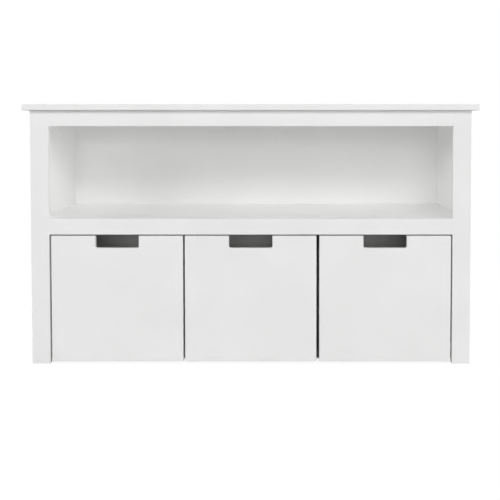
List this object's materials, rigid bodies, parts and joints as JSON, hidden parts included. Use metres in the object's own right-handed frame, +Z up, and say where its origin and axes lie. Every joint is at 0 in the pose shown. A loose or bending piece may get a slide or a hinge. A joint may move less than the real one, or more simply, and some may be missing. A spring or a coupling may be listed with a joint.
{
  "type": "toy storage unit",
  "caption": "Low white cabinet for toys: an overhanging top, an open display shelf, and rolling bins with finger cut-outs in a row below it.",
  "frame": {"origin": "on the floor, under the middle of the top board", "axes": "+X to the right as seen from the front, +Y to the back, +Z up"},
  "size_m": [1.182, 0.4, 0.68],
  "materials": {
    "white_board": "satin white paint on fibreboard",
    "back_board": "thin fibreboard, white on its inner face",
    "beech": "plain beech",
    "zinc_steel": "zinc plated",
    "castor_plastic": "moulded nylon"
  },
  "bodies": {
    "cabinet": {"top_panel": "white_board", "left_side_panel": "white_board", "right_side_panel": "white_board", "left_front_stile": "white_board", "right_front_stile": "white_board", "top_front_rail": "white_board", "shelf_front_rail": "white_board", "shelf_panel": "white_board", "top_rear_rail": "white_board", "shelf_rear_rail": "white_board", "bottom_rear_rail": "white_board", "back_panel": "back_board", "wood_dowels": "beech", "cam_fittings": "zinc_steel", "back_panel_nails": "zinc_steel"},
    "left_bin": {"left_bin_front": "white_board", "left_bin_left_side": "white_board", "left_bin_right_side": "white_board", "left_bin_back": "white_board", "left_bin_base": "white_board", "left_bin_panel_screws": "zinc_steel", "left_bin_cam_fittings": "zinc_steel", "left_bin_castor_brackets": "zinc_steel", "left_bin_castor_axles": "zinc_steel", "left_bin_castor_screws": "zinc_steel"},
    "middle_bin": {"middle_bin_front": "white_board", "middle_bin_left_side": "white_board", "middle_bin_right_side": "white_board", "middle_bin_back": "white_board", "middle_bin_base": "white_board", "middle_bin_panel_screws": "zinc_steel", "middle_bin_cam_fittings": "zinc_steel", "middle_bin_castor_brackets": "zinc_steel", "middle_bin_castor_axles": "zinc_steel", "middle_bin_castor_screws": "zinc_steel"},
    "right_bin": {"right_bin_front": "white_board", "right_bin_left_side": "white_board", "right_bin_right_side": "white_board", "right_bin_back": "white_board", "right_bin_base": "white_board", "right_bin_panel_screws": "zinc_steel", "right_bin_cam_fittings": "zinc_steel", "right_bin_castor_brackets": "zinc_steel", "right_bin_castor_axles": "zinc_steel", "right_bin_castor_screws": "zinc_steel"},
    "left_bin_front_left_wheel": {"left_bin_front_left_wheel": "castor_plastic"},
    "left_bin_front_right_wheel": {"left_bin_front_right_wheel": "castor_plastic"},
    "left_bin_rear_left_wheel": {"left_bin_rear_left_wheel": "castor_plastic"},
    "left_bin_rear_right_wheel": {"left_bin_rear_right_wheel": "castor_plastic"},
    "middle_bin_front_left_wheel": {"middle_bin_front_left_wheel": "castor_plastic"},
    "middle_bin_front_right_wheel": {"middle_bin_front_right_wheel": "castor_plastic"},
    "middle_bin_rear_left_wheel": {"middle_bin_rear_left_wheel": "castor_plastic"},
    "middle_bin_rear_right_wheel": {"middle_bin_rear_right_wheel": "castor_plastic"},
    "right_bin_front_left_wheel": {"right_bin_front_left_wheel": "castor_plastic"},
    "right_bin_front_right_wheel": {"right_bin_front_right_wheel": "castor_plastic"},
    "right_bin_rear_left_wheel": {"right_bin_rear_left_wheel": "castor_plastic"},
    "right_bin_rear_right_wheel": {"right_bin_rear_right_wheel": "castor_plastic"}
  },
  "joints": [
    {"name": "left_bin_roll_out", "type": "slide", "parent": "cabinet", "child": "left_bin", "axis": [0, -1, 0], "range_m": [0, 0.42]},
    {"name": "middle_bin_roll_out", "type": "slide", "parent": "cabinet", "child": "middle_bin", "axis": [0, -1, 0], "range_m": [0, 0.42]},
    {"name": "right_bin_roll_out", "type": "slide", "parent": "cabinet", "child": "right_bin", "axis": [0, -1, 0], "range_m": [0, 0.42]},
    {"name": "left_bin_front_left_wheel_turn", "type": "hinge", "parent": "left_bin", "child": "left_bin_front_left_wheel", "pos_m": [-0.4704, -0.132, 0.015], "axis": [1, 0, 0], "continuous": true},
    {"name": "left_bin_front_right_wheel_turn", "type": "hinge", "parent": "left_bin", "child": "left_bin_front_right_wheel", "pos_m": [-0.2302, -0.132, 0.015], "axis": [1, 0, 0], "continuous": true},
    {"name": "left_bin_rear_left_wheel_turn", "type": "hinge", "parent": "left_bin", "child": "left_bin_rear_left_wheel", "pos_m": [-0.4704, 0.1277, 0.015], "axis": [1, 0, 0], "continuous": true},
    {"name": "left_bin_rear_right_wheel_turn", "type": "hinge", "parent": "left_bin", "child": "left_bin_rear_right_wheel", "pos_m": [-0.2302, 0.1277, 0.015], "axis": [1, 0, 0], "continuous": true},
    {"name": "middle_bin_front_left_wheel_turn", "type": "hinge", "parent": "middle_bin", "child": "middle_bin_front_left_wheel", "pos_m": [-0.1209, -0.132, 0.015], "axis": [1, 0, 0], "continuous": true},
    {"name": "middle_bin_front_right_wheel_turn", "type": "hinge", "parent": "middle_bin", "child": "middle_bin_front_right_wheel", "pos_m": [0.1193, -0.132, 0.015], "axis": [1, 0, 0], "continuous": true},
    {"name": "middle_bin_rear_left_wheel_turn", "type": "hinge", "parent": "middle_bin", "child": "middle_bin_rear_left_wheel", "pos_m": [-0.1209, 0.1277, 0.015], "axis": [1, 0, 0], "continuous": true},
    {"name": "middle_bin_rear_right_wheel_turn", "type": "hinge", "parent": "middle_bin", "child": "middle_bin_rear_right_wheel", "pos_m": [0.1193, 0.1277, 0.015], "axis": [1, 0, 0], "continuous": true},
    {"name": "right_bin_front_left_wheel_turn", "type": "hinge", "parent": "right_bin", "child": "right_bin_front_left_wheel", "pos_m": [0.2311, -0.132, 0.015], "axis": [1, 0, 0], "continuous": true},
    {"name": "right_bin_front_right_wheel_turn", "type": "hinge", "parent": "right_bin", "child": "right_bin_front_right_wheel", "pos_m": [0.4713, -0.132, 0.015], "axis": [1, 0, 0], "continuous": true},
    {"name": "right_bin_rear_left_wheel_turn", "type": "hinge", "parent": "right_bin", "child": "right_bin_rear_left_wheel", "pos_m": [0.2311, 0.1277, 0.015], "axis": [1, 0, 0], "continuous": true},
    {"name": "right_bin_rear_right_wheel_turn", "type": "hinge", "parent": "right_bin", "child": "right_bin_rear_right_wheel", "pos_m": [0.4713, 0.1277, 0.015], "axis": [1, 0, 0], "continuous": true}
  ],
  "couplings": [
    {"joint": "left_bin_front_left_wheel_turn", "follows": "left_bin_roll_out", "rad_per_m": 66.667},
    {"joint": "left_bin_front_right_wheel_turn", "follows": "left_bin_roll_out", "rad_per_m": 66.667},
    {"joint": "left_bin_rear_left_wheel_turn", "follows": "left_bin_roll_out", "rad_per_m": 66.667},
    {"joint": "left_bin_rear_right_wheel_turn", "follows": "left_bin_roll_out", "rad_per_m": 66.667},
    {"joint": "middle_bin_front_left_wheel_turn", "follows": "middle_bin_roll_out", "rad_per_m": 66.667},
    {"joint": "middle_bin_front_right_wheel_turn", "follows": "middle_bin_roll_out", "rad_per_m": 66.667},
    {"joint": "middle_bin_rear_left_wheel_turn", "follows": "middle_bin_roll_out", "rad_per_m": 66.667},
    {"joint": "middle_bin_rear_right_wheel_turn", "follows": "middle_bin_roll_out", "rad_per_m": 66.667},
    {"joint": "right_bin_front_left_wheel_turn", "follows": "right_bin_roll_out", "rad_per_m": 66.667},
    {"joint": "right_bin_front_right_wheel_turn", "follows": "right_bin_roll_out", "rad_per_m": 66.667},
    {"joint": "right_bin_rear_left_wheel_turn", "follows": "right_bin_roll_out", "rad_per_m": 66.667},
    {"joint": "right_bin_rear_right_wheel_turn", "follows": "right_bin_roll_out", "rad_per_m": 66.667}
  ]
}
